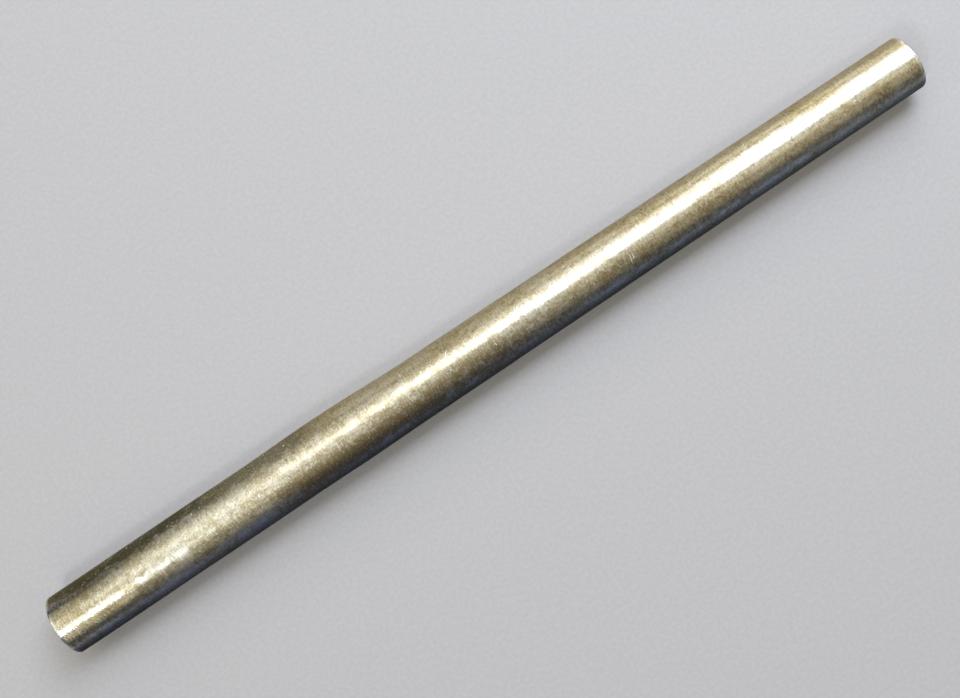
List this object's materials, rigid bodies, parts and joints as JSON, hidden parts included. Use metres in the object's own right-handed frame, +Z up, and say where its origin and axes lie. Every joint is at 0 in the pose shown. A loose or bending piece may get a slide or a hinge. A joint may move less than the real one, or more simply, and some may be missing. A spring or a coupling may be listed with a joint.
{
  "type": "ring mandrel",
  "caption": "Solid round steel bar for sizing and rounding finger rings: a straight butt that blends into a slow taper towards a plain squared small end with broken edges.",
  "frame": {"origin": "on the surface that the bar lies on, under the middle of its length", "axes": "+X along the bar from the butt to the small end, level with the surface, +Z up, +Y to the left of +X; the bar's own axis dips 0.28 degrees below +X, as a tapered bar lies"},
  "size_m": [0.3, 0.019, 0.0195],
  "materials": {
    "bare_steel": "bare steel, finely brushed around the bar, with a faint warm brown tarnish, darker pitted patches near the butt and bright worn end rims"
  },
  "bodies": {
    "root": {"mandrel_bar": "bare_steel"}
  },
  "joints": []
}
